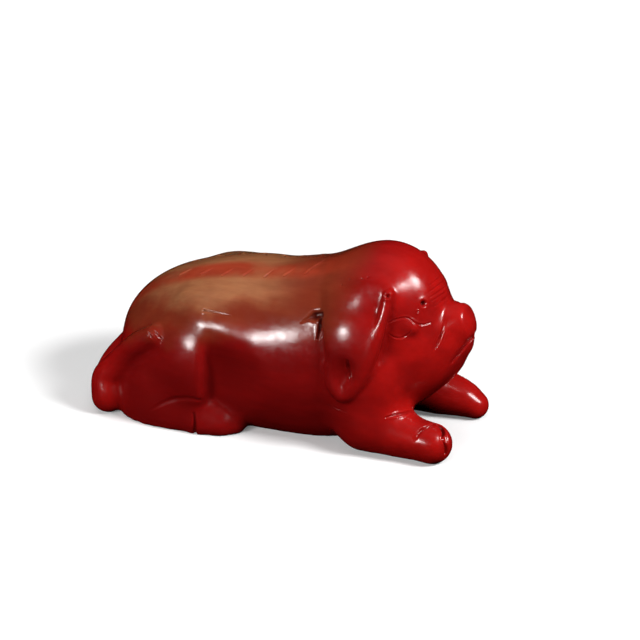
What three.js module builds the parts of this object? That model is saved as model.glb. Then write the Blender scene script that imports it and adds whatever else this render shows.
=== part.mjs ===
import * as THREE from "three";

// A pig of red coral, lying on its belly with its head raised, carved from one piece.
// Millimetres, Z up. The pig looks along +X, and its tail lies on its right side (-Y).

// Overall sizes
const LENGTH = 70;
const WIDTH = 34;
const HEIGHT = 36.5;

// Sizes of the carved parts
const SNOUT_RADIUS = 3.3;
const SNOUT_LEAN = 12;
const EAR_THICKNESS = 1;
const FORELEG_RADIUS = 4.7;
const SHANK_RADIUS = 4.4;
const TAIL_RADIUS = 3;
const GROOVE_RADIUS = 0.7;

// Cells of the faceted surface: small on the head, feet and tail, larger on the trunk
const FINE_CELL = 1.28;
const COARSE_CELL = 2.2;
// Points of the surface lower than this are on the ground
const NEAR_GROUND = 0.04;

// A point of the carving. The numbers are millimetres on a pig 70 long, 34 wide and 36.5 high,
// and stretch with the overall sizes. A paired part is given for the left side (+Y).
const at = (x, y, z) => new THREE.Vector3((x * LENGTH) / 70, (y * WIDTH) / 34, (z * HEIGHT) / 36.5);
const degrees = THREE.MathUtils.degToRad;

// A rounded mass: an ellipsoid, leaned about the Y axis so that its front rises.
function blob(centre, radii, rise = 0) {
  const c = Math.cos(degrees(rise));
  const s = Math.sin(degrees(rise));
  const [rx, ry, rz] = radii.toArray();
  return (p) => {
    const dx = p.x - centre.x;
    const dz = p.z - centre.z;
    const x = (c * dx + s * dz) / rx;
    const y = (p.y - centre.y) / ry;
    const z = (c * dz - s * dx) / rz;
    const reach = Math.hypot(x, y, z);
    const slope = Math.hypot(x / rx, y / ry, z / rz);
    return slope < 1e-9 ? -Math.min(rx, ry, rz) : ((reach - 1) * reach) / slope;
  };
}

// All that lies behind a plane that faces forwards and is tipped back by the angle.
function plane(through, rise) {
  const c = Math.cos(degrees(rise));
  const s = Math.sin(degrees(rise));
  return (p) => c * (p.x - through.x) + s * (p.z - through.z);
}

// A round bar along a smooth curve, with a radius for each of its points. A flat bar leaves Y
// out, so that it is a straight-sided shape across the body.
function limb(points, radii, { flat = false, spans = 5 } = {}) {
  const curve = new THREE.CatmullRomCurve3(points, false, "centripetal");
  const count = (points.length - 1) * spans;
  const stations = [];
  for (let i = 0; i <= count; i++) {
    const first = Math.min(Math.floor(i / spans), radii.length - 2);
    const radius = THREE.MathUtils.lerp(radii[first], radii[first + 1], i / spans - first);
    const centre = curve.getPoint(i / count);
    if (flat) centre.y = 0;
    stations.push({ centre, radius });
  }
  const along = new THREE.Vector3();
  const from = new THREE.Vector3();
  return (p) => {
    let nearest = Infinity;
    for (let i = 0; i < count; i++) {
      const a = stations[i];
      const b = stations[i + 1];
      along.subVectors(b.centre, a.centre);
      from.subVectors(p, a.centre);
      if (flat) from.y = 0;
      const t = THREE.MathUtils.clamp(from.dot(along) / along.lengthSq(), 0, 1);
      const reach = from.addScaledVector(along, -t).length();
      nearest = Math.min(nearest, reach - THREE.MathUtils.lerp(a.radius, b.radius, t));
    }
    return nearest;
  };
}

// Rounded join of two masses, a cut with a rounded lip, and what two masses share, over a width k.
function join(a, b, k) {
  const h = Math.max(k - Math.abs(a - b), 0) / k;
  return Math.min(a, b) - (h * h * k) / 4;
}
const cut = (a, b, k) => -join(-a, b, k);
const meet = (a, b, k) => -join(-a, -b, k);

// Radii of a limb, in shares of one size.
const shares = (numbers, size) => numbers.map((number) => number * size);

// Trunk, neck and head
const seat = blob(at(-22, -2.5, 4.6), at(8.2, 12.4, 7.2));
const rump = blob(at(-14, 0, 11.5), at(15.9, 14.6, 12.2));
const barrel = blob(at(0, 0, 12.6), at(26, 15.3, 16.1));
const chest = blob(at(10, 0, 14.4), at(13, 13, 16.6));
const neck = blob(at(16.4, 0, 18.4), at(9.6, 10, 13.1));
const crown = blob(at(20.8, 0, 22.8), at(11.6, 9.8, 13.5));
const jowl = blob(at(24, 0, 15.2), at(11, 9, 8.6), 47);
const muzzle = limb([at(26, 0, 18), at(29.5, 0, 17.2), at(32.4, 0, 20)], [7, 5.4, 4]);

// Snout: a disc that looks a little upwards on a short neck, and a lower lip under the mouth
const snout = at(36.2, 0, 23.6);
const snoutNeck = limb([at(30, 0, 21.3), at(34, 0, 22.8)], [4.4, 2.7]);
const snoutBlock = blob(
  snout.clone().sub(at(2.4, 0, 0.2)),
  new THREE.Vector3(3.7, SNOUT_RADIUS, SNOUT_RADIUS + 0.3),
  SNOUT_LEAN,
);
const snoutFace = plane(snout, SNOUT_LEAN);
const lip = limb([at(30, 0, 17), at(34.2, 0, 19.1)], [3.6, 2.2]);
const mouth = limb(
  [at(37.8, 0, 21.4), at(36.6, 2, 20.5), at(35.6, 3, 19), at(34.5, 4, 17.2)],
  shares([1, 0.9, 0.8, 0.6], GROOVE_RADIUS),
);
const snoutCrease = limb(
  [
    at(33.9, 0.8, 27.1),
    at(33.4, 3.1, 25.8),
    at(32.9, 4.4, 24.2),
    at(32.5, 5.3, 22.4),
    at(32, 6.2, 20.6),
  ],
  shares([0.4, 0.6, 0.8, 0.8, 0.5], GROOVE_RADIUS),
);
const eye = blob(at(26.4, 7.6, 24.8), at(2.7, 1, 1.6), -8);

// Legs folded under the body
const shoulder = blob(at(19.2, 8.9, 11.5), at(7.2, 5, 9));
const rightForeleg = limb(
  [at(20, -9.4, 4.6), at(22, -9, 4.4), at(26.5, -9.2, 4), at(30, -9.3, 3.6), at(32.7, -9.5, 3.4)],
  shares([0.98, 1, 0.9, 0.8, 0.78], FORELEG_RADIUS),
);
const leftForeleg = limb(
  [at(20, 9.4, 4.6), at(22, 9, 4.4), at(27, 9.1, 3.8), at(31.6, 9.2, 3.1), at(34, 9, 2.3)],
  shares([0.98, 1, 0.9, 0.7, 0.52], FORELEG_RADIUS),
);
const coronet = limb(
  [at(30.6, 12.7, 5.4), at(31.2, 11.5, 6.8), at(32, 10.2, 7.4), at(32.6, 8.6, 7.4)],
  shares([0.3, 0.7, 0.7, 0.4], GROOVE_RADIUS),
);
const cleft = limb(
  [
    at(33, 8, 7.2),
    at(34.3, 8.7, 6.6),
    at(35.6, 10.2, 5.7),
    at(36.2, 10.9, 4.2),
    at(36.2, 11, 2),
    at(35.8, 11, 0),
  ],
  shares([0.4, 0.8, 0.9, 0.9, 0.9, 0.9], GROOVE_RADIUS),
);
const flankHollow = blob(at(-6, 18.6, 10.9), at(8, 5, 8.4), -14);
const thigh = blob(at(-17.5, 5.5, 6.6), at(9.5, 10.6, 9.4));
const haunch = blob(at(-11.4, 5, 10.4), at(12.8, 12, 14));
const haunchEdge = limb([at(-15.9, 0, 17.4), at(-16.5, 0, 9)], [7, 8], { flat: true });
const hip = blob(at(-7.4, 7.4, 19.4), at(8.5, 6.2, 4.7), -16);
const shank = blob(at(-16.3, 12.4, 2.4), at(10, SHANK_RADIUS, 5.6), 7);
const hindFoot = limb(
  [at(-9.6, 13.4, 1.5), at(-6.6, 13, 1.5), at(-4.6, 12.2, 1.4)],
  shares([0.68, 0.66, 0.52], SHANK_RADIUS),
);

// Ear: a leaf that hangs from the side of the crown and stands proud of the cheek, with a rim
// along its front edge and a hollow near its tip
const earLeaf = limb(
  [
    at(18.2, 0, 28),
    at(18.2, 0, 25.5),
    at(18.5, 0, 21.6),
    at(18.2, 0, 18.3),
    at(17.6, 0, 15),
    at(17.2, 0, 12.7),
  ],
  [6, 5.9, 4.9, 4.15, 3, 1.7],
  { flat: true },
);
const earFace = blob(at(17.8, 2.6, 17.4), at(12, 12.4, 14));
const earRoot = blob(at(20.6, 6.2, 28), at(4.6, 2.8, 4.6));
const earRim = limb(
  [
    at(23.8, 8.2, 30.8),
    at(23.5, 10.5, 26.8),
    at(22.6, 12.3, 22.4),
    at(21.4, 13.2, 18.4),
    at(19.6, 13.6, 14.8),
    at(17.5, 13.8, 12.3),
    at(15.4, 13.8, 14.2),
    at(14.5, 13.6, 17),
  ],
  shares([1, 0.8, 0.85, 1.1, 1.4, 1.5, 1.2, 0.8], EAR_THICKNESS),
);
const earHollow = blob(at(18.3, 16.5, 16.6), at(2.6, 2.4, 4.4), 8);
const earValley = limb(
  [at(24.8, 9.2, 29.4), at(25, 10.4, 26.4), at(24.4, 10.9, 22.4), at(23.4, 11.4, 19)],
  [0.3, 0.8, 0.9, 0.3],
);
const earPit = blob(at(11.4, 11.6, 25.4), at(1.9, 1.3, 1.1), 8);

// Tail, on the right side only: out from under the rump, round its corner and up the haunch
const tail = limb(
  [
    at(-28, 2, 8),
    at(-30.4, -5, 5),
    at(-29.9, -9.6, 3.2),
    at(-28.4, -13.4, 2.9),
    at(-28.9, -12.7, 6.2),
    at(-26.8, -12.4, 9.1),
    at(-24.6, -12.6, 12),
    at(-22, -13.1, 14.9),
    at(-19.6, -13.4, 16.7),
  ],
  shares([1.05, 1, 1, 1, 0.9, 0.82, 0.75, 0.7, 0.6], TAIL_RADIUS),
);

// The ear grows smoothly out of the head at its root, and stands clear of it at its edges.
function earSeam(p) {
  const up = THREE.MathUtils.smoothstep(p.z, at(0, 0, 24).z, at(0, 0, 31).z);
  const behind = 1 - THREE.MathUtils.smoothstep(p.x, at(19, 0, 0).x, at(23, 0, 0).x);
  return 0.4 + 2.4 * up * behind;
}

const side = new THREE.Vector3();
function pig(p) {
  side.set(p.x, Math.abs(p.y), p.z);
  let d = join(rump(p), seat(p), 4);
  d = join(d, barrel(p), 4);
  d = join(d, chest(p), 4);
  d = join(d, neck(p), 5);
  d = join(d, crown(p), 4);
  d = join(d, jowl(p), 4);
  d = join(d, muzzle(p), 3);
  d = join(d, snoutNeck(p), 2.5);
  d = join(d, meet(snoutBlock(p), snoutFace(p), 0.7), 1.1);
  d = join(d, lip(p), 1);
  d = join(d, eye(side), 0.8);
  d = join(d, earRoot(side), 3);
  d = join(d, shoulder(side), 3);
  d = join(d, thigh(side), 3);
  d = cut(d, flankHollow(side), 3.5);
  d = join(d, meet(haunch(side), haunchEdge(side), 1.2), 1.3);
  d = join(d, hip(side), 2.8);
  d = join(d, shank(side), 1.5);
  d = join(d, hindFoot(side), 2.2);
  d = join(d, Math.min(rightForeleg(p), leftForeleg(p)), 3.5);
  d = cut(d, earPit(side), 0.4);
  d = cut(d, earValley(side), 1.2);
  const ear = cut(meet(earFace(side), earLeaf(side), 1.2), earHollow(side), 1);
  d = join(d, join(ear, earRim(side), 1.1), earSeam(side));
  d = join(d, tail(p), 1.4);
  for (const groove of [mouth, snoutCrease, coronet, cleft]) {
    d = cut(d, groove(side), 0.3);
  }
  return Math.max(d, -p.z);
}

// Grid lines along one axis, whose spacing follows the places where the form is fine.
function gridLines(low, high, cellAt) {
  const lines = [low];
  while (lines.at(-1) < high) lines.push(lines.at(-1) + cellAt(lines.at(-1)));
  return lines;
}

// Closed surface of a field: one vertex in each cell that it crosses, drawn onto the surface,
// and one four-sided face around each grid edge that it crosses.
function surfaceOf(field, [xs, ys, zs]) {
  const [nx, ny, nz] = [xs.length, ys.length, zs.length];
  const index = (i, j, k) => (i * ny + j) * nz + k;
  const values = new Float64Array(nx * ny * nz);
  const p = new THREE.Vector3();
  for (let i = 0; i < nx; i++)
    for (let j = 0; j < ny; j++)
      for (let k = 0; k < nz; k++) values[index(i, j, k)] = field(p.set(xs[i], ys[j], zs[k]));
  fillSlits(values, index, [nx, ny, nz]);

  const corners = [0, 1, 2, 3, 4, 5, 6, 7].map((c) => [c & 1, (c >> 1) & 1, (c >> 2) & 1]);
  const edges = [];
  for (let a = 0; a < 8; a++) {
    for (const bit of [1, 2, 4]) {
      if (!(a & bit)) edges.push([a, a | bit]);
    }
  }
  const vertexOf = new Int32Array(nx * ny * nz).fill(-1);
  const positions = [];
  const step = 0.02;
  const slope = new THREE.Vector3();
  const probe = new THREE.Vector3();
  function slopeAt(q) {
    for (const axis of ["x", "y", "z"]) {
      probe.copy(q);
      probe[axis] += step;
      const up = field(probe);
      probe[axis] -= 2 * step;
      slope[axis] = (up - field(probe)) / (2 * step);
    }
    return slope;
  }
  for (let i = 0; i < nx - 1; i++)
    for (let j = 0; j < ny - 1; j++)
      for (let k = 0; k < nz - 1; k++) {
        const v = corners.map(([a, b, c]) => values[index(i + a, j + b, k + c)]);
        const inside = v.filter((x) => x < 0).length;
        if (inside === 0 || inside === 8) continue;
        const crossings = [];
        for (const [a, b] of edges) {
          if (v[a] < 0 === v[b] < 0) continue;
          const t = v[a] / (v[a] - v[b]);
          const [ca, cb] = [corners[a], corners[b]];
          const point = new THREE.Vector3(
            xs[i + ca[0]] * (1 - t) + xs[i + cb[0]] * t,
            ys[j + ca[1]] * (1 - t) + ys[j + cb[1]] * t,
            zs[k + ca[2]] * (1 - t) + zs[k + cb[2]] * t,
          );
          const d = field(point);
          const steep = Math.max(slopeAt(point).lengthSq(), 0.2);
          point.addScaledVector(slope, -d / steep);
          crossings.push({ point, normal: slope.clone().normalize() });
        }
        const size = Math.min(xs[i + 1] - xs[i], ys[j + 1] - ys[j], zs[k + 1] - zs[k]);
        const place = meetingPlace(crossings);
        const margin = 0.08 * size;
        place.x = THREE.MathUtils.clamp(place.x, xs[i] + margin, xs[i + 1] - margin);
        place.y = THREE.MathUtils.clamp(place.y, ys[j] + margin, ys[j + 1] - margin);
        place.z = THREE.MathUtils.clamp(place.z, zs[k] + margin, zs[k + 1] - margin);
        if (place.z < NEAR_GROUND) place.z = 0;
        vertexOf[index(i, j, k)] = positions.length / 3;
        positions.push(place.x, place.y, place.z);
      }

  const faces = [];
  const gap = (m, n) => Math.hypot(...[0, 1, 2].map((x) => positions[3 * m + x] - positions[3 * n + x]));
  function quad(ring, flip) {
    const [a, b, c, d] = flip ? ring.reverse() : ring;
    if (gap(a, c) < gap(b, d)) faces.push(a, b, c, a, c, d);
    else faces.push(a, b, d, b, c, d);
  }
  for (let i = 1; i < nx - 1; i++)
    for (let j = 1; j < ny - 1; j++)
      for (let k = 1; k < nz - 1; k++) {
        const here = values[index(i, j, k)] < 0;
        const cell = (a, b, c) => vertexOf[index(i - a, j - b, k - c)];
        if (here !== values[index(i + 1, j, k)] < 0) {
          quad([cell(0, 1, 1), cell(0, 0, 1), cell(0, 0, 0), cell(0, 1, 0)], !here);
        }
        if (here !== values[index(i, j + 1, k)] < 0) {
          quad([cell(1, 0, 1), cell(1, 0, 0), cell(0, 0, 0), cell(0, 0, 1)], !here);
        }
        if (here !== values[index(i, j, k + 1)] < 0) {
          quad([cell(1, 1, 0), cell(0, 1, 0), cell(0, 0, 0), cell(1, 0, 0)], !here);
        }
      }
  const shown = plainUnderside(faces, positions);
  const geometry = new THREE.BufferGeometry();
  geometry.setAttribute("position", new THREE.Float32BufferAttribute(positions, 3));
  geometry.setIndex(shown);
  return geometry;
}

// The point that lies closest to all the tangent planes of some surface points, which is on
// the edge where the surface has one.
function meetingPlace(crossings) {
  const middle = new THREE.Vector3();
  for (const { point } of crossings) middle.addScaledVector(point, 1 / crossings.length);
  const pull = 0.06 * crossings.length;
  const rows = [pull, 0, 0, 0, pull, 0, 0, 0, pull];
  const goal = new THREE.Vector3();
  for (const { point, normal } of crossings) {
    const n = normal.toArray();
    for (let r = 0; r < 3; r++) {
      for (let c = 0; c < 3; c++) rows[3 * r + c] += n[r] * n[c];
    }
    goal.addScaledVector(normal, normal.dot(point.clone().sub(middle)));
  }
  return middle.add(goal.applyMatrix3(new THREE.Matrix3().set(...rows).invert()));
}

// Covers the flat underside with a few large faces between its own outline points.
function plainUnderside(faces, positions) {
  const flat = (vertex) => Math.abs(positions[3 * vertex + 2]) < 1e-6;
  const kept = [];
  const next = new Map();
  for (let f = 0; f < faces.length; f += 3) {
    const [a, b, c] = faces.slice(f, f + 3);
    if (!(flat(a) && flat(b) && flat(c))) {
      kept.push(a, b, c);
      continue;
    }
    for (const [from, to] of [[a, b], [b, c], [c, a]]) {
      const turned = next.get(to);
      if (turned?.has(from)) turned.delete(from);
      else next.set(from, (next.get(from) ?? new Set()).add(to));
    }
  }
  const loops = [];
  for (const [start, ends] of next)
    while (ends.size) {
      const loop = [];
      let here = start;
      do {
        loop.push(here);
        const [there] = next.get(here);
        next.get(here).delete(there);
        here = there;
      } while (here !== start);
      loops.push(loop);
    }
  for (const loop of loops) bendStraightRuns(loop, positions);
  const point = (vertex) => new THREE.Vector2(-positions[3 * vertex], positions[3 * vertex + 1]);
  const outline = (loop) => loop.map(point);
  const rims = loops.filter((loop) => THREE.ShapeUtils.area(outline(loop)) > 0);
  const gaps = loops.filter((loop) => THREE.ShapeUtils.area(outline(loop)) < 0);
  for (const rim of rims) {
    const box = new THREE.Box2().setFromPoints(outline(rim));
    const holes = gaps.filter((loop) => outline(loop).every((q) => box.containsPoint(q)));
    const ring = [rim, ...holes].flat();
    for (const [a, b, c] of THREE.ShapeUtils.triangulateShape(outline(rim), holes.map(outline))) {
      kept.push(ring[a], ring[b], ring[c]);
    }
  }
  return compact(kept, positions);
}

// Moves each point of an outline that is exactly in line with its neighbours aside by a hair, as
// the faces of the underside would pass it by and leave a slit.
function bendStraightRuns(loop, positions) {
  loop.forEach((vertex, i) => {
    const [before, here, after] = [loop.at(i - 1), vertex, loop[(i + 1) % loop.length]].map(
      (v) => new THREE.Vector2(positions[3 * v], positions[3 * v + 1]),
    );
    const run = after.clone().sub(before);
    if (run.cross(here.sub(before)) !== 0) return;
    run.setLength(0.002);
    positions[3 * vertex] += run.y;
    positions[3 * vertex + 1] -= run.x;
  });
}

// Leaves out the vertices that no face uses.
function compact(faces, positions) {
  const places = new Map();
  const used = [];
  const renumbered = faces.map((vertex) => {
    if (!places.has(vertex)) {
      places.set(vertex, places.size);
      used.push(...positions.slice(3 * vertex, 3 * vertex + 3));
    }
    return places.get(vertex);
  });
  positions.length = 0;
  positions.push(...used);
  return renumbered;
}

// Fills slits thinner than a cell, where two sheets of the surface would share one vertex: in
// each cell the corners inside the form hang together along its edges, and so do those outside.
function fillSlits(values, index, [nx, ny, nz]) {
  const steps = [0, 1, 2, 3, 4, 5, 6, 7].map((c) => index(c & 1, (c >> 1) & 1, (c >> 2) & 1));
  const together = (corners) => {
    if (corners.length < 2) return true;
    const found = [corners[0]];
    for (const c of found) {
      for (const beside of [c ^ 1, c ^ 2, c ^ 4]) {
        if (corners.includes(beside) && !found.includes(beside)) found.push(beside);
      }
    }
    return found.length === corners.length;
  };
  let changed = true;
  while (changed) {
    changed = false;
    for (let i = 0; i < nx - 1; i++)
      for (let j = 0; j < ny - 1; j++)
        for (let k = 0; k < nz - 1; k++) {
          const base = index(i, j, k);
          const inside = [];
          const outside = [];
          steps.forEach((s, c) => (values[base + s] < 0 ? inside : outside).push(c));
          if (together(inside) && together(outside)) continue;
          const value = (corner) => values[base + steps[corner]];
          const thinnest = outside.reduce((a, b) => (value(a) < value(b) ? a : b));
          values[base + steps[thinnest]] = -1e-3;
          changed = true;
        }
  }
}

const low = at(-37, -20, 0);
const high = at(40, 20, 40);
const headStart = at(10, 0, 0).x;
const rumpEnd = at(-20, 0, 0).x;
const faceStart = at(23, 0, 0).x;
function cellAlong(x) {
  if (x > faceStart) return 0.85 * FINE_CELL;
  return x > headStart || x < rumpEnd ? 1.1 * FINE_CELL : COARSE_CELL;
}
const xs = gridLines(low.x, high.x, cellAlong);
const half = gridLines(FINE_CELL / 2, high.y, () => 1.15 * FINE_CELL);
const ys = [...half.map((y) => -y).reverse(), ...half];
const zs = gridLines(-1.5 * FINE_CELL, high.z, (z) => (z > 0.75 * high.z ? 1.4 * FINE_CELL : FINE_CELL));
const form = surfaceOf(pig, [xs, ys, zs]);

// The origin is on the surface that the pig lies on, under the middle of its bounding box.
form.computeBoundingBox();
const middle = form.boundingBox.getCenter(new THREE.Vector3());
form.translate(-middle.x, -middle.y, -form.boundingBox.min.z);
form.computeVertexNormals();

function piece(name, geometry, material) {
  const mesh = new THREE.Mesh(geometry, material);
  mesh.name = name;
  return mesh;
}

const coral = new THREE.MeshStandardMaterial({ color: 0x8e1410, roughness: 0.25, metalness: 0 });
const carving = new THREE.Group();
carving.add(piece("pig", form, coral));
export default carving;
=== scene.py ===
"""A pig of red coral, lying on its belly with its head raised, carved from one piece and polished.

The pig looks along +X and its tail lies on its right side (-Y). The form is worked out in
millimetres as one field of distances, like the solid, and becomes a fine mesh in metres. The
strokes, lids, wrinkles and pits that the carver cut are sunk into that mesh.
"""

import math

import bpy
import numpy as np
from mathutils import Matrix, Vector


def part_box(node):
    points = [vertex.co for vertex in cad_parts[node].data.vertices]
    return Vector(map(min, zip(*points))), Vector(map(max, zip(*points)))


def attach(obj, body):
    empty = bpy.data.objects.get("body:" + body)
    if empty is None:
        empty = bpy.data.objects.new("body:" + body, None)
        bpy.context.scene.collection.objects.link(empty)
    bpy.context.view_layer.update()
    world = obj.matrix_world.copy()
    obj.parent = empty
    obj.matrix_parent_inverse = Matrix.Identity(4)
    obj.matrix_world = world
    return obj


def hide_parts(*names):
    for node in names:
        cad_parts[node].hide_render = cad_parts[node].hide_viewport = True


MM = 0.001

# Overall sizes
LENGTH = 70
WIDTH = 34
HEIGHT = 36.5

# Sizes of the carved parts
SNOUT_RADIUS = 3.3
SNOUT_LEAN = 12
EAR_THICKNESS = 1
FORELEG_RADIUS = 4.7
SHANK_RADIUS = 4.4
TAIL_RADIUS = 3
GROOVE_RADIUS = 0.7

# How finely the surface is cut up: on the form, and beside a carved line
FORM_CELL = 0.62
LINE_CELL = 0.17
DIVIDING_ROUNDS = 3
# Points of the surface lower than this are on the ground
NEAR_GROUND = 0.02
# Bars say no more than this about points that are further away from them
FAR = 6.0
# Faces that meet at a sharper angle than this keep their edge
SHARP_ANGLE = 60

# Relief of a carved line, in widths of the line from its middle
LIP_PLACE = 1.25
LIP_WIDTH = 0.4
RELIEF_END = 1.6
LINE_REACH = 2.5

# Colours of the coral
DEEP_RED = (0.205, 0.004, 0.004)
BRIGHT_RED = (0.37, 0.006, 0.005)
BROWN = (0.19, 0.028, 0.011)
OCHRE = (0.31, 0.118, 0.05)
SPINE_RED = (0.30, 0.03, 0.012)
GROOVE_RED = (0.05, 0.002, 0.002)

# Paper that the pig lies on, in metres from its middle to each edge
PAPER_REACH = 3

# The view of the photograph, with the place that the camera is aimed at
VIEW_AZIMUTH = 22
VIEW_ELEVATION = 27
CAMERA_DISTANCE = 1000
PIXELS_PER_MM = 5.58
PICTURE_SIZE = 640
SENSOR_WIDTH = 36
AIM = (5.63, 0, 18.7)


def at(x, y, z):
    """A point of the carving. The numbers are millimetres on a pig 70 long, 34 wide and 36.5
    high, and stretch with the overall sizes. A paired part is given for the left side (+Y)."""
    return np.array([x * LENGTH / 70, y * WIDTH / 34, z * HEIGHT / 36.5])


def blob(centre, radii, rise=0):
    """A rounded mass: an ellipsoid, leaned about the Y axis so that its front rises."""
    c = math.cos(math.radians(rise))
    s = math.sin(math.radians(rise))

    def distance(p):
        d = p - centre
        x = (c * d[:, 0] + s * d[:, 2]) / radii[0]
        y = d[:, 1] / radii[1]
        z = (c * d[:, 2] - s * d[:, 0]) / radii[2]
        reach = np.sqrt(x**2 + y**2 + z**2)
        slope = np.sqrt((x / radii[0]) ** 2 + (y / radii[1]) ** 2 + (z / radii[2]) ** 2)
        return np.where(slope < 1e-9, -min(radii), (reach - 1) * reach / np.maximum(slope, 1e-9))

    return distance


def plane(through, rise):
    """All that lies behind a plane that faces forwards and is tipped back by the angle."""
    forward = np.array([math.cos(math.radians(rise)), 0, math.sin(math.radians(rise))])
    return lambda p: (p - through) @ forward


def smooth_line(points, spans):
    """Points along a centripetal Catmull-Rom curve through the given ones."""
    points = [np.asarray(p, float) for p in points]
    points = [2 * points[0] - points[1], *points, 2 * points[-1] - points[-2]]
    line = []
    for a, b, c, d in zip(points, points[1:], points[2:], points[3:]):
        ab, bc, cd = (math.sqrt(np.linalg.norm(q - p)) for p, q in ((a, b), (b, c), (c, d)))
        start = bc * ((b - a) / ab - (c - a) / (ab + bc) + (c - b) / bc)
        end = bc * ((c - b) / bc - (d - b) / (bc + cd) + (d - c) / cd)
        for t in np.arange(spans) / spans:
            bend = (3 * (c - b) - 2 * start - end) * t**2 + (2 * (b - c) + start + end) * t**3
            line.append(b + start * t + bend)
    line.append(points[-2])
    return np.array(line)


def limb(points, radii, flat=False, spans=5):
    """A round bar along a smooth curve, with a radius for each of its points. A flat bar leaves
    Y out, so that it is a straight-sided shape across the body."""
    line = smooth_line(points, spans)
    sizes = np.interp(np.arange(len(line)) / spans, np.arange(len(radii)), radii)
    low = line.min(0) - max(radii) - FAR
    high = line.max(0) + max(radii) + FAR
    if flat:
        line[:, 1] = 0
        low[1] = -np.inf
        high[1] = np.inf

    def distance(p):
        result = np.full(len(p), FAR)
        near = np.all((p > low) & (p < high), axis=1)
        q = p[near] * ((1, 0, 1) if flat else (1, 1, 1))
        nearest = np.full(len(q), np.inf)
        for a, b, first, last in zip(line, line[1:], sizes, sizes[1:]):
            along = b - a
            t = np.clip((q - a) @ along / (along @ along), 0, 1)
            reach = np.linalg.norm(q - a - t[:, None] * along, axis=1)
            nearest = np.minimum(nearest, reach - first - t * (last - first))
        result[near] = nearest
        return result

    return distance


def join(a, b, k):
    """Rounded join of two masses, over a width k."""
    h = np.maximum(k - np.abs(a - b), 0) / k
    return np.minimum(a, b) - h * h * k / 4


def cut(a, b, k):
    """What mass b leaves of mass a, with a lip rounded over a width k."""
    return -join(-a, b, k)


def meet(a, b, k):
    """What two masses share, with edges rounded over a width k."""
    return -join(-a, -b, k)


def shares(numbers, size):
    return [number * size for number in numbers]


def smoothstep(x, low, high):
    t = np.clip((x - low) / (high - low), 0, 1)
    return t * t * (3 - 2 * t)


# Trunk, neck and head
seat = blob(at(-22, -2.5, 4.6), at(8.2, 12.4, 7.2))
rump = blob(at(-14, 0, 11.5), at(15.9, 14.6, 12.2))
barrel = blob(at(0, 0, 12.6), at(26, 15.3, 16.1))
chest = blob(at(10, 0, 14.4), at(13, 13, 16.6))
neck = blob(at(16.4, 0, 18.4), at(9.6, 10, 13.1))
crown = blob(at(20.8, 0, 22.8), at(11.6, 9.8, 13.5))
jowl = blob(at(24, 0, 15.2), at(11, 9, 8.6), 47)
muzzle = limb([at(26, 0, 18), at(29.5, 0, 17.2), at(32.4, 0, 20)], [7, 5.4, 4])

# Snout: a disc that looks a little upwards on a short neck, and a lower lip under the mouth
snout = at(36.2, 0, 23.6)
snout_neck = limb([at(30, 0, 21.3), at(34, 0, 22.8)], [4.4, 2.7])
snout_block = blob(snout - at(2.4, 0, 0.2), [3.7, SNOUT_RADIUS, SNOUT_RADIUS + 0.3], SNOUT_LEAN)
snout_face = plane(snout, SNOUT_LEAN)
lip = limb([at(30, 0, 17), at(34.2, 0, 19.1)], [3.6, 2.2])
mouth = limb(
    [at(37.8, 0, 21.4), at(36.6, 2, 20.5), at(35.6, 3, 19), at(34.5, 4, 17.2)],
    shares([1, 0.9, 0.8, 0.6], GROOVE_RADIUS),
)
snout_crease = limb(
    [
        at(33.9, 0.8, 27.1),
        at(33.4, 3.1, 25.8),
        at(32.9, 4.4, 24.2),
        at(32.5, 5.3, 22.4),
        at(32, 6.2, 20.6),
    ],
    shares([0.4, 0.6, 0.8, 0.8, 0.5], GROOVE_RADIUS),
)
eye = blob(at(26.4, 7.6, 24.8), at(2.7, 1, 1.6), -8)

# Legs folded under the body
shoulder = blob(at(19.2, 8.9, 11.5), at(7.2, 5, 9))
right_foreleg = limb(
    [at(20, -9.4, 4.6), at(22, -9, 4.4), at(26.5, -9.2, 4), at(30, -9.3, 3.6), at(32.7, -9.5, 3.4)],
    shares([0.98, 1, 0.9, 0.8, 0.78], FORELEG_RADIUS),
)
left_foreleg = limb(
    [at(20, 9.4, 4.6), at(22, 9, 4.4), at(27, 9.1, 3.8), at(31.6, 9.2, 3.1), at(34, 9, 2.3)],
    shares([0.98, 1, 0.9, 0.7, 0.52], FORELEG_RADIUS),
)
coronet = limb(
    [at(30.6, 12.7, 5.4), at(31.2, 11.5, 6.8), at(32, 10.2, 7.4), at(32.6, 8.6, 7.4)],
    shares([0.3, 0.7, 0.7, 0.4], GROOVE_RADIUS),
)
cleft = limb(
    [
        at(33, 8, 7.2),
        at(34.3, 8.7, 6.6),
        at(35.6, 10.2, 5.7),
        at(36.2, 10.9, 4.2),
        at(36.2, 11, 2),
        at(35.8, 11, 0),
    ],
    shares([0.4, 0.8, 0.9, 0.9, 0.9, 0.9], GROOVE_RADIUS),
)
flank_hollow = blob(at(-6, 18.6, 10.9), at(8, 5, 8.4), -14)
thigh = blob(at(-17.5, 5.5, 6.6), at(9.5, 10.6, 9.4))
haunch = blob(at(-11.4, 5, 10.4), at(12.8, 12, 14))
haunch_edge = limb([at(-15.9, 0, 17.4), at(-16.5, 0, 9)], [7, 8], flat=True)
hip = blob(at(-7.4, 7.4, 19.4), at(8.5, 6.2, 4.7), -16)
shank = blob(at(-16.3, 12.4, 2.4), at(10, SHANK_RADIUS, 5.6), 7)
hind_foot = limb(
    [at(-9.6, 13.4, 1.5), at(-6.6, 13, 1.5), at(-4.6, 12.2, 1.4)],
    shares([0.68, 0.66, 0.52], SHANK_RADIUS),
)

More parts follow.
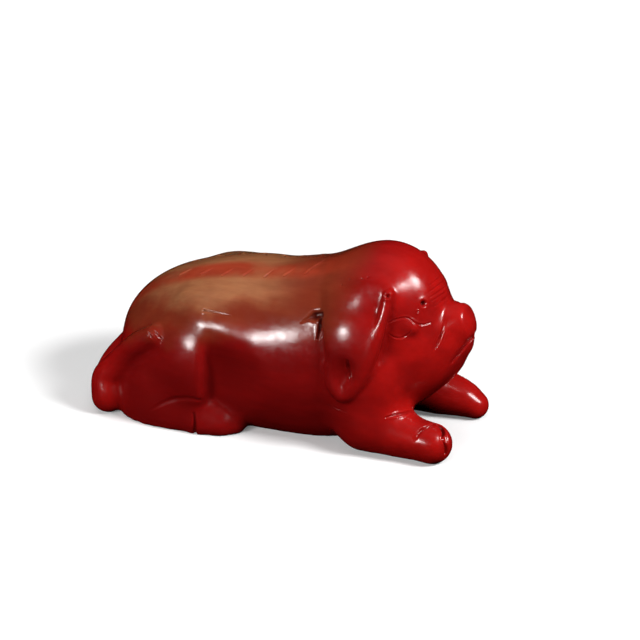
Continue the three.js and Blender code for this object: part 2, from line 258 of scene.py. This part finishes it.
# Ear: a leaf that hangs from the side of the crown and stands proud of the cheek, with a rim
# along its front edge and a hollow near its tip
ear_leaf = limb(
    [
        at(18.2, 0, 28),
        at(18.2, 0, 25.5),
        at(18.5, 0, 21.6),
        at(18.2, 0, 18.3),
        at(17.6, 0, 15),
        at(17.2, 0, 12.7),
    ],
    [6, 5.9, 4.9, 4.15, 3, 1.7],
    flat=True,
)
ear_face = blob(at(17.8, 2.6, 17.4), at(12, 12.4, 14))
ear_root = blob(at(20.6, 6.2, 28), at(4.6, 2.8, 4.6))
ear_rim = limb(
    [
        at(23.8, 8.2, 30.8),
        at(23.5, 10.5, 26.8),
        at(22.6, 12.3, 22.4),
        at(21.4, 13.2, 18.4),
        at(19.6, 13.6, 14.8),
        at(17.5, 13.8, 12.3),
        at(15.4, 13.8, 14.2),
        at(14.5, 13.6, 17),
    ],
    shares([1, 0.8, 0.85, 1.1, 1.4, 1.5, 1.2, 0.8], EAR_THICKNESS),
)
ear_hollow = blob(at(18.3, 16.5, 16.6), at(2.6, 2.4, 4.4), 8)
ear_valley = limb(
    [at(24.8, 9.2, 29.4), at(25, 10.4, 26.4), at(24.4, 10.9, 22.4), at(23.4, 11.4, 19)],
    [0.3, 0.8, 0.9, 0.3],
)
ear_pit = blob(at(11.4, 11.6, 25.4), at(1.9, 1.3, 1.1), 8)

# Tail, on the right side only: out from under the rump, round its corner and up the haunch
tail = limb(
    [
        at(-28, 2, 8),
        at(-30.4, -5, 5),
        at(-29.9, -9.6, 3.2),
        at(-28.4, -13.4, 2.9),
        at(-28.9, -12.7, 6.2),
        at(-26.8, -12.4, 9.1),
        at(-24.6, -12.6, 12),
        at(-22, -13.1, 14.9),
        at(-19.6, -13.4, 16.7),
    ],
    shares([1.05, 1, 1, 1, 0.9, 0.82, 0.75, 0.7, 0.6], TAIL_RADIUS),
)


def ear_seam(p):
    """The ear grows smoothly out of the head at its root, and stands clear of it at its edges."""
    up = smoothstep(p[:, 2], at(0, 0, 24)[2], at(0, 0, 31)[2])
    behind = 1 - smoothstep(p[:, 0], at(19, 0, 0)[0], at(23, 0, 0)[0])
    return 0.4 + 2.4 * up * behind


def pig(p):
    """Distance from the surface of the carving, less than zero inside it."""
    side = p * (1, 0, 1) + np.abs(p) * (0, 1, 0)
    d = join(rump(p), seat(p), 4)
    d = join(d, barrel(p), 4)
    d = join(d, chest(p), 4)
    d = join(d, neck(p), 5)
    d = join(d, crown(p), 4)
    d = join(d, jowl(p), 4)
    d = join(d, muzzle(p), 3)
    d = join(d, snout_neck(p), 2.5)
    d = join(d, meet(snout_block(p), snout_face(p), 0.7), 1.1)
    d = join(d, lip(p), 1)
    d = join(d, eye(side), 0.8)
    d = join(d, ear_root(side), 3)
    d = join(d, shoulder(side), 3)
    d = join(d, thigh(side), 3)
    d = cut(d, flank_hollow(side), 3.5)
    d = join(d, meet(haunch(side), haunch_edge(side), 1.2), 1.3)
    d = join(d, hip(side), 2.8)
    d = join(d, shank(side), 1.5)
    d = join(d, hind_foot(side), 2.2)
    d = join(d, np.minimum(right_foreleg(p), left_foreleg(p)), 3.5)
    d = cut(d, ear_pit(side), 0.4)
    d = cut(d, ear_valley(side), 1.2)
    ear = cut(meet(ear_face(side), ear_leaf(side), 1.2), ear_hollow(side), 1)
    d = join(d, join(ear, ear_rim(side), 1.1), ear_seam(side))
    d = join(d, tail(p), 1.4)
    for groove in (mouth, snout_crease, coronet, cleft):
        d = cut(d, groove(side), 0.3)
    return np.maximum(d, -p[:, 2])


def slope_of(field, p, step=0.03):
    """The direction in which a field rises, and how fast."""
    rows = []
    for axis in np.eye(3) * step:
        rows.append((field(p + axis) - field(p - axis)) / (2 * step))
    return np.stack(rows, 1)


def drawn_onto(field, p, most, rounds=2):
    """Points moved onto the surface of a field, no further than most each time."""
    for _ in range(rounds):
        slope = slope_of(field, p)
        steep = np.maximum((slope**2).sum(1), 0.2)
        move = -(field(p) / steep)[:, None] * slope
        length = np.linalg.norm(move, axis=1, keepdims=True)
        p = p + move * np.minimum(1, most / np.maximum(length, 1e-9))
    return p


def fill_slits(values):
    """Fills slits thinner than a cell: in each cell the corners inside the form hang together
    along its edges, and so do those outside."""
    corners = [(a, b, c) for a in (0, 1) for b in (0, 1) for c in (0, 1)]

    def together(chosen):
        found = chosen[:1]
        for here in found:
            for there in chosen:
                apart = sum(abs(p - q) for p, q in zip(here, there))
                if apart == 1 and there not in found:
                    found.append(there)
        return len(found) == len(chosen)

    split = np.zeros(256, bool)
    for code in range(256):
        inside = [c for bit, c in enumerate(corners) if code >> bit & 1]
        outside = [c for c in corners if c not in inside]
        split[code] = not (together(inside) and together(outside))
    cells = tuple(n - 1 for n in values.shape)
    while True:
        code = np.zeros(cells, int)
        for bit, (a, b, c) in enumerate(corners):
            part = values[a : a + cells[0], b : b + cells[1], c : c + cells[2]]
            code += (part < 0).astype(int) << bit
        bad = np.argwhere(split[code])
        if not len(bad):
            return
        for cell in bad:
            places = [tuple(cell + np.array(c)) for c in corners]
            outside = [q for q in places if values[q] >= 0]
            if outside:
                values[min(outside, key=lambda q: values[q])] = -1e-3


def surface_of(field, lines):
    """Closed surface of a field: one vertex in each cell that it crosses and one four-sided face
    around each grid edge that it crosses, cut along its shorter diagonal."""
    points = np.stack(np.meshgrid(*lines, indexing="ij"), -1)
    shape = points.shape[:3]
    values = field(points.reshape(-1, 3)).reshape(shape)
    fill_slits(values)
    cells = tuple(n - 1 for n in shape)
    total = np.zeros((*cells, 3))
    count = np.zeros(cells, int)
    rings = []
    for axis in range(3):
        first = np.take(values, range(shape[axis] - 1), axis)
        last = np.take(values, range(1, shape[axis]), axis)
        edges = np.argwhere((first < 0) != (last < 0))
        one = np.eye(3, dtype=int)[axis]
        ends = [tuple(edges.T), tuple((edges + one).T)]
        share = values[ends[0]] / (values[ends[0]] - values[ends[1]])
        crossing = points[ends[0]] + share[:, None] * (points[ends[1]] - points[ends[0]])
        across = np.eye(3, dtype=int)[(axis + 1) % 3]
        over = np.eye(3, dtype=int)[(axis + 2) % 3]
        ring = [edges, edges - across, edges - across - over, edges - over]
        for cell in ring:
            np.add.at(total, tuple(cell.T), crossing)
            np.add.at(count, tuple(cell.T), 1)
        ring = np.stack(ring, 1)
        outward = values[ends[0]] < 0
        ring[~outward] = ring[~outward][:, ::-1]
        rings.append(ring)
    crossed = count > 0
    number = np.full(cells, -1)
    number[crossed] = np.arange(crossed.sum())
    places = total[crossed] / count[crossed][:, None]
    quads = number[tuple(np.moveaxis(np.concatenate(rings), -1, 0))]
    a, b, c, d = quads.T
    short = np.linalg.norm(places[a] - places[c], axis=1) < np.linalg.norm(places[b] - places[d], axis=1)
    halves = [
        np.stack([a, b, c], 1)[short],
        np.stack([a, c, d], 1)[short],
        np.stack([a, b, d], 1)[~short],
        np.stack([b, c, d], 1)[~short],
    ]
    return places, np.concatenate(halves)


def divided(points, faces, wanted):
    """Cuts the edges that are longer than the size wanted there in two."""
    ends = np.stack([faces, np.roll(faces, -1, 1)], -1).reshape(-1, 2)
    ends.sort(axis=1)
    key, index = np.unique(ends[:, 0] * len(points) + ends[:, 1], return_inverse=True)
    first, last = points[key // len(points)], points[key % len(points)]
    middle = (first + last) / 2
    long = np.linalg.norm(first - last, axis=1) > wanted(middle)
    number = np.full(len(key), -1)
    number[long] = len(points) + np.arange(long.sum())
    points = np.concatenate([points, middle[long]])
    middles = number[index.reshape(-1, 3)]
    cuts = (middles >= 0).sum(1)
    made = [faces[cuts == 0]]
    (a, b, c), (ab, bc, ca) = faces[cuts == 3].T, middles[cuts == 3].T
    made += [np.stack(t, 1) for t in ((a, ab, ca), (ab, b, bc), (ca, bc, c), (ab, bc, ca))]

    def turned(chosen, start):
        order = (start[:, None] + np.arange(3)) % 3
        pick = np.arange(len(start))[:, None]
        return faces[chosen][pick, order].T, middles[chosen][pick, order].T

    (a, b, c), (ab, _, _) = turned(cuts == 1, middles[cuts == 1].argmax(1))
    made += [np.stack(t, 1) for t in ((a, ab, c), (ab, b, c))]
    (a, b, c), (ab, bc, _) = turned(cuts == 2, (middles[cuts == 2].argmin(1) + 1) % 3)
    made += [np.stack(t, 1) for t in ((ab, b, bc), (a, ab, bc), (a, bc, c))]
    return points, np.concatenate(made)


def normals_of(points, faces):
    first, middle, last = (points[faces[:, i]] for i in range(3))
    across = np.cross(middle - first, last - first)
    normals = np.zeros_like(points)
    for i in range(3):
        np.add.at(normals, faces[:, i], across)
    return normals / np.maximum(np.linalg.norm(normals, axis=1, keepdims=True), 1e-12)


class Line:
    """A carved line: its course on the surface, how wide and deep it is at each of its points,
    and how far its lip is raised."""

    def __init__(self, points, widths, depths, lip=0.0, spans=4):
        count = len(points)
        line = smooth_line(points, spans) if count > 2 else np.linspace(points[0], points[1], 2 * spans + 1)
        self.points = drawn_onto(pig, line, 2.0, 3)
        share = np.linspace(0, 1, len(line))
        self.widths = np.interp(share, np.linspace(0, 1, len(widths)), widths)
        self.depths = np.interp(share, np.linspace(0, 1, len(depths)), depths)
        self.lip = lip
        self.reach = LINE_REACH * max(widths)

    def near(self, p):
        low = self.points.min(0) - self.reach
        high = self.points.max(0) + self.reach
        return np.flatnonzero(np.all((p > low) & (p < high), axis=1))

    def measure(self, q):
        """Distance from the middle of the line in widths, and the width and depth there."""
        best = np.full(len(q), np.inf)
        width = np.ones(len(q))
        depth = np.zeros(len(q))
        for i, (a, b) in enumerate(zip(self.points, self.points[1:])):
            along = b - a
            t = np.clip((q - a) @ along / max(along @ along, 1e-9), 0, 1)
            local_width = self.widths[i] + t * (self.widths[i + 1] - self.widths[i])
            reach = np.linalg.norm(q - a - t[:, None] * along, axis=1) / local_width
            closer = reach < best
            best[closer] = reach[closer]
            width[closer] = local_width[closer]
            depth[closer] = (self.depths[i] + t * (self.depths[i + 1] - self.depths[i]))[closer]
        return best, width, depth


def pit(place, radius, depth, lip=0.0):
    """A round pit, as a very short line."""
    return Line([place, place + at(0.05, 0, 0)], [radius, radius], [depth, depth], lip)


def carved_lines():
    """The lines and pits that the carver and time have left, on both sides and on the right side
    alone. Each is given on the right side (-Y), which the photograph shows: its points, then its
    widths, its depths and its lip."""
    both = []
    right = []

    def lids():
        upper = [
            at(24.2, -9.4, 25.7),
            at(25.4, -8.9, 26.4),
            at(27.1, -7.9, 26.6),
            at(28.3, -7.6, 26.1),
            at(29.6, -6.7, 25.1),
            at(30.9, -5.5, 25.2),
        ]
        lower = [
            at(24.5, -9.4, 23.5),
            at(25.5, -9.2, 23),
            at(26.7, -8.8, 23),
            at(27.6, -8.3, 23.8),
            at(28.1, -8.1, 24.5),
        ]
        both.append(Line(upper, [0.2, 0.26, 0.26, 0.2], [0.1, 0.2, 0.22, 0.1], 0.05))
        both.append(Line(lower, [0.2, 0.22, 0.22, 0.2], [0.08, 0.15, 0.16, 0.04], 0.04))

    def hooves():
        coronet = [at(30.9, -12, 5.9), at(31.3, -11.1, 6.6), at(32, -10.3, 6.8), at(32.6, -9, 6.9)]
        cleft = [
            at(33.2, -8, 6.6),
            at(34.1, -8.5, 6),
            at(35.4, -10.3, 5.7),
            at(36, -10.8, 4.5),
            at(36, -10.9, 2.6),
        ]
        crease = [at(25, -12.4, 8.5), at(26.3, -11.4, 8.7), at(27.6, -9.8, 8.6), at(28.3, -7.1, 7.8)]
        both.append(Line(coronet, [0.25, 0.35, 0.35, 0.25], [0.15, 0.35, 0.4, 0.2], 0.08))
        both.append(Line(cleft, [0.35, 0.45, 0.45, 0.4], [0.3, 0.6, 0.6, 0.3], 0.08))
        both.append(Line(crease, [0.25, 0.35, 0.35, 0.25], [0.12, 0.3, 0.3, 0.1], 0.1))

    def face():
        mouth_line = [
            at(36.5, -0.3, 20.9),
            at(36.1, -1.6, 20.3),
            at(35.4, -2.4, 19.3),
            at(34.8, -3.1, 18.1),
            at(34.2, -3.6, 17.3),
        ]
        crease = [at(32.4, -3.5, 24.8), at(32.4, -4.3, 23.2), at(32.1, -5.1, 21.8), at(31.8, -5.8, 20.6)]
        both.append(Line(mouth_line, [0.3, 0.35, 0.25], [0.35, 0.4, 0.15], 0.05))
        both.append(Line(crease, [0.25, 0.3, 0.25], [0.05, 0.3, 0.15], 0.06))
        both.append(pit(at(29.2, -5.2, 28.6), 0.72, 0.85, 0.08))
        both.append(pit(at(24, -9.3, 30.9), 0.52, 0.55, 0.1))
        right.append(pit(at(28.6, -6.4, 27.4), 0.26, 0.2, 0.08))
        wrinkles = (
            ((29.2, -2.6, 30.9), (29.5, 2.4, 30.6)),
            ((29.5, -3.4, 30.1), (30.2, 2.1, 29.9)),
            ((29.8, -3.8, 29.2), (30.9, 1.3, 29.2)),
            ((30.2, -3.9, 28.6), (31.3, 1.3, 28.5)),
            ((30.8, -3.8, 27.6), (31.7, 1.1, 27.7)),
        )
        for start, end in wrinkles:
            middle = (at(*start) + at(*end)) / 2 + at(0.3, 0, 0.2)
            right.append(Line([at(*start), middle, at(*end)], [0.22, 0.3, 0.2], [0.05, 0.13, 0.04]))

    def ears():
        slot = [at(18.5, -14.8, 19.6), at(18.6, -14.6, 18.1), at(19, -14.6, 16.4)]
        both.append(Line(slot, [0.35, 0.5, 0.35], [0.2, 0.55, 0.25], 0.08))
        scratch = [at(14.6, -13.8, 9.6), at(16.3, -14, 9.2), at(18.1, -14.2, 9)]
        right.append(Line(scratch, [0.2, 0.25, 0.2], [0.05, 0.1, 0.04], 0.03))
        # Ragged cavity and crack behind the right ear
        cavity = [at(8.5, -11.5, 23.8), at(9.7, -10.9, 24.6), at(10.8, -10.4, 25.1), at(11.7, -10.3, 25.4)]
        crack = [at(11.8, -10.5, 24.8), at(12, -11.6, 23.4), at(12, -12.4, 21.7)]
        right.append(Line(cavity, [0.3, 0.6, 1.1, 0.9], [0.08, 0.35, 0.8, 0.8], 0.06))
        right.append(Line(crack, [0.5, 0.45, 0.3], [0.9, 0.8, 0.4], 0.08))
        for x, y, z in ((18.3, -7.9, 32.9), (19.4, -7.7, 33.2), (14.5, -8.3, 31.2), (15.7, -7.6, 32.3)):
            right.append(pit(at(x, y, z), 0.24, 0.16))

    def back():
        strokes = (
            ((-18.2, -3, 24.3), (-16.6, -1.8, 25.2)),
            ((-13.8, -3.9, 25.6), (-12.2, -2.7, 26.4)),
            ((-9.4, -4.8, 26.6), (-7.8, -3, 27.4)),
            ((-5.2, -4.8, 27.4), (-4, -2.9, 28)),
            ((-1.3, -4.7, 27.7), (-0.4, -2.7, 28.4)),
            ((2.4, -4.3, 28.6), (3.8, -2.5, 29.5)),
            ((6.4, -4.2, 29.7), (6.9, -3.3, 30.2)),
            ((6.7, -3.5, 30.1), (8.8, -0.7, 31.4)),
        )
        # The same strokes, mirrored, run down the other side of the spine
        for mirror in ((1, 1, 1), (1, -1, 1)):
            for start, end in strokes:
                stroke = [at(*start) * mirror, at(*end) * mirror]
                right.append(Line(stroke, [0.36, 0.3, 0.2], [0.22, 0.2, 0.05], 0.05))

    def flank_and_hind_leg():
        nick = [at(-9.9, -11.2, 22), at(-4.8, -11.6, 22.5)]
        right.append(Line(nick, [0.25, 0.2, 0.15], [0.25, 0.1, 0.03], 0.05))
        right.append(pit(nick[0], 0.42, 0.32, 0.06))
        under_haunch = [
            at(-18.5, -16.5, 3.5),
            at(-16.2, -16.4, 5.3),
            at(-13.5, -16.3, 6.7),
            at(-11, -16.5, 7.4),
            at(-9.3, -16.1, 7.2),
        ]
        both.append(Line(under_haunch, [0.4, 0.7, 0.8, 0.6], [0.05, 0.2, 0.3, 0.15]))
        notch = [at(-10.3, -16.4, 4.2), at(-10.1, -16.8, 2.3), at(-10.2, -16, 0.2)]
        both.append(Line(notch, [0.4, 0.5, 0.6], [0.3, 0.5, 0.5]))

    def tail_tuft():
        hairs = (
            ((-19.8, -14.9, 18.2), (-18.7, -15.3, 17.2)),
            ((-18.6, -14.1, 18.3), (-17.6, -14.6, 17.1)),
            ((-17.9, -14.3, 17.7), (-17.1, -14.8, 16.9)),
        )
        for start, end in hairs:
            right.append(Line([at(*start), at(*end)], [0.2, 0.24, 0.2], [0.1, 0.2, 0.08], 0.06))

    for carve in (lids, hooves, face, ears, back, flank_and_hind_leg, tail_tuft):
        carve()
    return both, right


def relief_of(p, both, right):
    """How far each point of the surface moves out, which is less than zero in a carved line."""
    sunk = np.zeros(len(p))
    raised = np.zeros(len(p))
    left_too = p * (1, 0, 1) - np.abs(p) * (0, 1, 0)
    for q, lines in ((left_too, both), (p, right)):
        for line in lines:
            near = line.near(q)
            reach, _, depth = line.measure(q[near])
            shape = np.clip(1 - reach, 0, 1) ** 2 * (1 + 2 * np.clip(reach, 0, 1))
            sunk[near] = np.maximum(sunk[near], depth * shape)
            lip = line.lip * np.exp(-(((reach - LIP_PLACE) / LIP_WIDTH) ** 2)) * depth / line.depths.max()
            raised[near] = np.maximum(raised[near], lip)
    return raised - sunk, sunk


def size_beside(p, both, right):
    """The longest edge wanted at each point: short beside carved lines, long elsewhere."""
    size = np.full(len(p), 5.0)
    left_too = p * (1, 0, 1) - np.abs(p) * (0, 1, 0)
    for q, lines in ((left_too, both), (p, right)):
        for line in lines:
            near = line.near(q)
            reach, width, _ = line.measure(q[near])
            apart = np.maximum(reach - RELIEF_END, 0) * width
            size[near] = np.minimum(size[near], LINE_CELL * np.maximum(1, 2 * width) + 0.8 * apart)
    return size


def steps(low, high, cell):
    return np.arange(low, high + cell, cell)


def carving(solid_low, solid_high):
    """The mesh of the pig, in metres, in the middle of its solid's box, with the depth of its
    carved lines kept as an attribute."""
    low, high = at(-36, -19, 0), at(39, 19, 38)
    half = steps(FORM_CELL / 2, high[1], FORM_CELL)
    lines = [
        steps(low[0], high[0], FORM_CELL),
        np.concatenate([-half[::-1], half]),
        steps(-1.5 * FORM_CELL, high[2], FORM_CELL),
    ]
    points, faces = surface_of(pig, lines)
    points = drawn_onto(pig, points, 0.4 * FORM_CELL)
    both, right = carved_lines()
    for _ in range(DIVIDING_ROUNDS):
        points, faces = divided(points, faces, lambda q: size_beside(q, both, right))
    points = drawn_onto(pig, points, 0.2 * FORM_CELL, 1)
    move, sunk = relief_of(points, both, right)
    points = points + normals_of(points, faces) * move[:, None]
    points[points[:, 2] < NEAR_GROUND, 2] = 0
    points = points * MM
    middle = (points.min(0) + points.max(0)) / 2
    wanted = (np.array(solid_low) + np.array(solid_high)) / 2
    points = points + (wanted - middle) * (1, 1, 0)
    mesh = bpy.data.meshes.new("carved_pig")
    mesh.from_pydata(points.tolist(), [], faces.tolist())
    mesh.validate()
    mesh.shade_smooth()
    mesh.set_sharp_from_angle(angle=math.radians(SHARP_ANGLE))
    depth = mesh.attributes.new("carved_depth", "FLOAT", "POINT")
    depth.data.foreach_set("value", sunk.astype(np.float32))
    print("carved_pig", len(points), "vertices", len(faces), "triangles")
    return bpy.data.objects.new("carved_pig", mesh)


class Nodes:
    """Short calls for a material's nodes."""

    def __init__(self, name):
        self.material = bpy.data.materials.new(name)
        self.material.use_nodes = True
        self.tree = self.material.node_tree
        self.shader = self.tree.nodes["Principled BSDF"]

    def add(self, kind, **settings):
        node = self.tree.nodes.new(kind)
        for key, value in settings.items():
            setattr(node, key, value)
        return node

    def link(self, source, target):
        self.tree.links.new(source, target)

    def number(self, operation, a, b):
        node = self.add("ShaderNodeMath", operation=operation)
        for socket, value in zip(node.inputs, (a, b)):
            if isinstance(value, (int, float)):
                socket.default_value = value
            else:
                self.link(value, socket)
        return node.outputs[0]

    def ramp(self, value, low, high, start=0.0, end=1.0):
        """The share of the way of a value from low to high, eased at both ends."""
        node = self.add("ShaderNodeMapRange", interpolation_type="SMOOTHSTEP")
        self.link(value, node.inputs["Value"])
        node.inputs["From Min"].default_value = low
        node.inputs["From Max"].default_value = high
        node.inputs["To Min"].default_value = start
        node.inputs["To Max"].default_value = end
        return node.outputs["Result"]

    def noise(self, place, scale, detail=3.0, roughness=0.5):
        node = self.add("ShaderNodeTexNoise")
        self.link(place, node.inputs["Vector"])
        node.inputs["Scale"].default_value = scale
        node.inputs["Detail"].default_value = detail
        node.inputs["Roughness"].default_value = roughness
        return node.outputs["Fac"]

    def mix(self, share, first, second):
        node = self.add("ShaderNodeMix", data_type="RGBA")
        for socket, value in ((node.inputs[0], share), (node.inputs[6], first), (node.inputs[7], second)):
            if isinstance(value, tuple):
                socket.default_value = (*value, 1)
            else:
                self.link(value, socket)
        return node.outputs[2]


def streaks_along(n, place):
    """Noise that is drawn out along the pig."""
    stretched = n.add("ShaderNodeMapping")
    stretched.inputs["Scale"].default_value = (0.25, 1, 1)
    n.link(place, stretched.inputs["Vector"])
    return n.noise(stretched.outputs[0], 220, 4, 0.65)


def coral_color(n, place):
    """Deep red flanks, a brighter head, feet and tail, and a brown and ochre back with a red band
    along its spine. On the head and forelegs the brighter red is partly the coral's own tone and
    partly painted light for the lamps on the face side. Places are in metres."""
    parts = n.add("ShaderNodeSeparateXYZ")
    n.link(place, parts.inputs[0])
    x, y, z = parts.outputs
    cloud = n.noise(place, 60, 4, 0.6)
    streaks = streaks_along(n, place)
    # The edges between the colours wander
    wave = n.number("MULTIPLY", n.number("SUBTRACT", cloud, 0.5), 0.012)

    # Painted light, in part: the head and forelegs get a brighter red, partly the coral's own tone and
    # partly standing in for the lamps that shine on the face side.
    forward = n.ramp(n.number("ADD", x, wave), 0.013, 0.027)
    color = n.mix(forward, DEEP_RED, BRIGHT_RED)
    mottle = n.ramp(n.noise(place, 130, 3, 0.55), 0.42, 0.68, 0.0, 0.55)
    color = n.mix(n.number("MULTIPLY", mottle, forward), color, DEEP_RED)
    color = n.mix(n.ramp(x, -0.024, -0.030, 0.0, 0.6), color, BRIGHT_RED)

    # The rump is lower than the back, and so are its colours
    fall = n.number("MULTIPLY", x, 0.15)
    height = n.number("ADD", n.number("SUBTRACT", z, fall), wave)
    on_back = n.number("MULTIPLY", n.ramp(height, 0.0175, 0.0225), n.ramp(x, 0.019, 0.009))
    color = n.mix(n.number("MULTIPLY", on_back, n.ramp(streaks, 0.25, 0.7, 0.8, 1.0)), color, BROWN)
    pale = n.number("MULTIPLY", n.ramp(height, 0.0225, 0.0265), n.ramp(x, 0.007, -0.005))
    color = n.mix(n.number("MULTIPLY", pale, n.ramp(streaks, 0.25, 0.7, 0.7, 1.0)), color, OCHRE)
    from_spine = n.number("ABSOLUTE", n.number("ADD", y, 0.003), 0)
    on_spine = n.number("MULTIPLY", n.ramp(from_spine, 0.0032, 0.001), on_back)
    color = n.mix(n.number("MULTIPLY", on_spine, n.ramp(cloud, 0.4, 0.6, 0.3, 0.9)), color, SPINE_RED)

    lit = n.add("ShaderNodeVectorMath", operation="SCALE")
    n.link(color, lit.inputs[0])
    n.link(n.ramp(streaks, 0.35, 0.75, 0.86, 1.12), lit.inputs["Scale"])
    # Carved lines turn a darker red the deeper they are cut.
    depth = n.add("ShaderNodeAttribute", attribute_name="carved_depth").outputs["Fac"]
    return n.mix(n.ramp(depth, 0.1, 0.7, 0.0, 0.75), lit.outputs[0], GROOVE_RED)


def coral():
    """Polished red coral, which lets a little light in."""
    n = Nodes("coral")
    place = n.add("ShaderNodeTexCoord").outputs["Object"]
    n.link(coral_color(n, place), n.shader.inputs["Base Color"])
    grain = n.noise(place, 900, 3, 0.6)
    n.link(n.ramp(grain, 0.3, 0.7, 0.16, 0.26), n.shader.inputs["Roughness"])
    bump = n.add("ShaderNodeBump")
    bump.inputs["Strength"].default_value = 0.12
    bump.inputs["Distance"].default_value = 0.0002
    n.link(n.noise(place, 500, 5, 0.65), bump.inputs["Height"])
    n.link(bump.outputs[0], n.shader.inputs["Normal"])
    n.shader.inputs["IOR"].default_value = 1.5
    n.shader.inputs["Subsurface Weight"].default_value = 0.25
    n.shader.inputs["Subsurface Radius"].default_value = (1.0, 0.12, 0.06)
    n.shader.inputs["Subsurface Scale"].default_value = 0.0025
    return n.material


def towards(azimuth, elevation):
    """The direction of a view or a light: azimuth 0 is in front of the right side (-Y), and 90
    in front of the face (+X)."""
    a = math.radians(azimuth)
    e = math.radians(elevation)
    return Vector((math.sin(a) * math.cos(e), -math.cos(a) * math.cos(e), math.sin(e)))


def aimed(thing, target, direction, distance):
    thing.location = (Vector(target) + direction * distance) * MM
    thing.rotation_mode = "QUATERNION"
    thing.rotation_quaternion = (-direction).to_track_quat("-Z", "Y")
    bpy.context.scene.collection.objects.link(thing)
    return thing


def softbox(name, azimuth, elevation, distance, width, height, power):
    light = bpy.data.lights.new(name, "AREA")
    light.shape = "ELLIPSE"
    light.size = width * MM
    light.size_y = height * MM
    light.energy = power
    return aimed(bpy.data.objects.new(name, light), (0, 0, 10), towards(azimuth, elevation), distance)


def paper():
    """White paper that stays white far from the lights too."""
    n = Nodes("paper")
    n.shader.inputs["Base Color"].default_value = (0.9, 0.9, 0.9, 1)
    n.shader.inputs["Roughness"].default_value = 0.8
    n.shader.inputs["Emission Color"].default_value = (1, 1, 1, 1)
    reach = n.add("ShaderNodeVectorMath", operation="LENGTH")
    n.link(n.add("ShaderNodeTexCoord").outputs["Object"], reach.inputs[0])
    n.link(n.ramp(reach.outputs["Value"], 0.1, 0.3, 0.12, 1.0), n.shader.inputs["Emission Strength"])
    return n.material


def dark_room(scene):
    """A white sky that only the camera sees, because the pig mirrors none in the photograph."""
    world = bpy.data.worlds.new("studio")
    scene.world = world
    world.use_nodes = True
    world.node_tree.nodes["Background"].inputs["Color"].default_value = (1, 1, 1, 1)
    world.node_tree.nodes["Background"].inputs["Strength"].default_value = 1.0
    world.cycles_visibility.glossy = False
    world.cycles_visibility.diffuse = False


def sheet(scene):
    """The paper on the ground, which throws no light back onto the pig."""
    floor = bpy.data.meshes.new("floor")
    corners = [(x * PAPER_REACH, y * PAPER_REACH, 0) for x, y in ((-1, -1), (1, -1), (1, 1), (-1, 1))]
    floor.from_pydata(corners, [], [(0, 1, 2, 3)])
    ground = bpy.data.objects.new("floor", floor)
    ground.data.materials.append(paper())
    ground.visible_glossy = False
    ground.visible_diffuse = False
    scene.collection.objects.link(ground)


def lights():
    softbox("key", 78, 42, 420, 120, 120, 1.1)
    softbox("side", -24, 24, 420, 120, 70, 0.8)
    # Plain light, which shows in no highlight
    plain = [
        softbox("rear", -99, 52, 500, 320, 200, 0.35),
        softbox("top", 0, 88, 500, 500, 500, 0.7),
        softbox("wash", 91, 40, 600, 160, 160, 1.8),
        softbox("front", 0, 25, 600, 300, 200, 0.8),
    ]
    for light in plain:
        light.visible_glossy = False


def view_of_the_photograph(scene):
    camera = bpy.data.cameras.new("camera")
    camera.sensor_width = SENSOR_WIDTH
    camera.lens = PIXELS_PER_MM * CAMERA_DISTANCE * SENSOR_WIDTH / PICTURE_SIZE
    camera.clip_end = 100
    stand = bpy.data.objects.new("camera", camera)
    scene.camera = aimed(stand, AIM, towards(VIEW_AZIMUTH, VIEW_ELEVATION), CAMERA_DISTANCE)


def studio():
    scene = bpy.context.scene
    scene.view_settings.view_transform = "Standard"
    dark_room(scene)
    sheet(scene)
    lights()
    view_of_the_photograph(scene)


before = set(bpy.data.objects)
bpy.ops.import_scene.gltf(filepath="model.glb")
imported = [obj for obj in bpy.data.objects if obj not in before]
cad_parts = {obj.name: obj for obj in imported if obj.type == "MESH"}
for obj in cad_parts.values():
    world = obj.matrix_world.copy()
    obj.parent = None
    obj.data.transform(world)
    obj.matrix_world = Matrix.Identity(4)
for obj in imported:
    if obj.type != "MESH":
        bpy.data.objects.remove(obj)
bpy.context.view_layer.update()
pig_object = carving(*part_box("pig"))
pig_object.data.materials.append(coral())
bpy.context.scene.collection.objects.link(pig_object)
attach(pig_object, "root")
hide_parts("pig")
studio()
